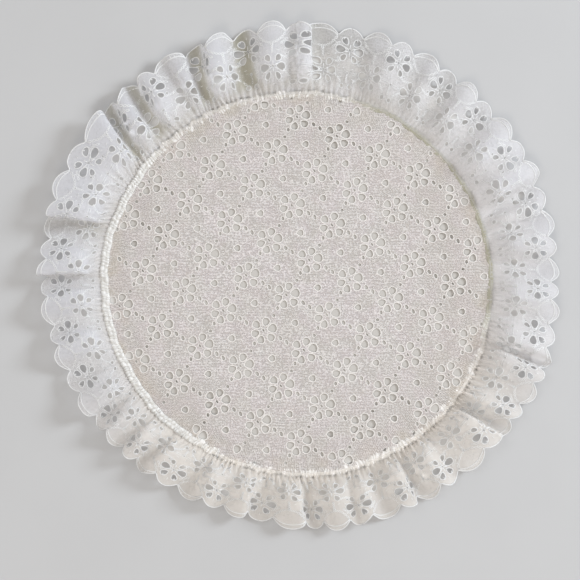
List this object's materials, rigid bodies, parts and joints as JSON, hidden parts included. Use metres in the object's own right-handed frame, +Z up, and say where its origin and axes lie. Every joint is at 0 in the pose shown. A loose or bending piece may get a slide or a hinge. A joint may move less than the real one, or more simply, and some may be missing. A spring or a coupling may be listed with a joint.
{
  "type": "lace doily",
  "caption": "Round lace doily: a flat disc of eyelet cloth with a gathered, scalloped eyelet lace ruffle sewn round it.",
  "frame": {"origin": "middle of the disc's flat underside, on the surface that the doily lies on", "axes": "+Z up out of the doily's face; +X to the right and +Y to the top as the doily is seen from above"},
  "size_m": [0.2982, 0.2932, 0.0164],
  "materials": {
    "panel_cloth": "matt cream eyelet cloth with a fine crinkled weave and stitched eyelet rims",
    "ruffle_lace": "sheer soft white eyelet lace with stitched eyelets and a corded scalloped edge",
    "seam_thread": "white overlock stitching, slightly lustrous"
  },
  "bodies": {
    "root": {"centre_panel": "panel_cloth", "ruffle": "ruffle_lace", "seam": "seam_thread"}
  },
  "joints": []
}
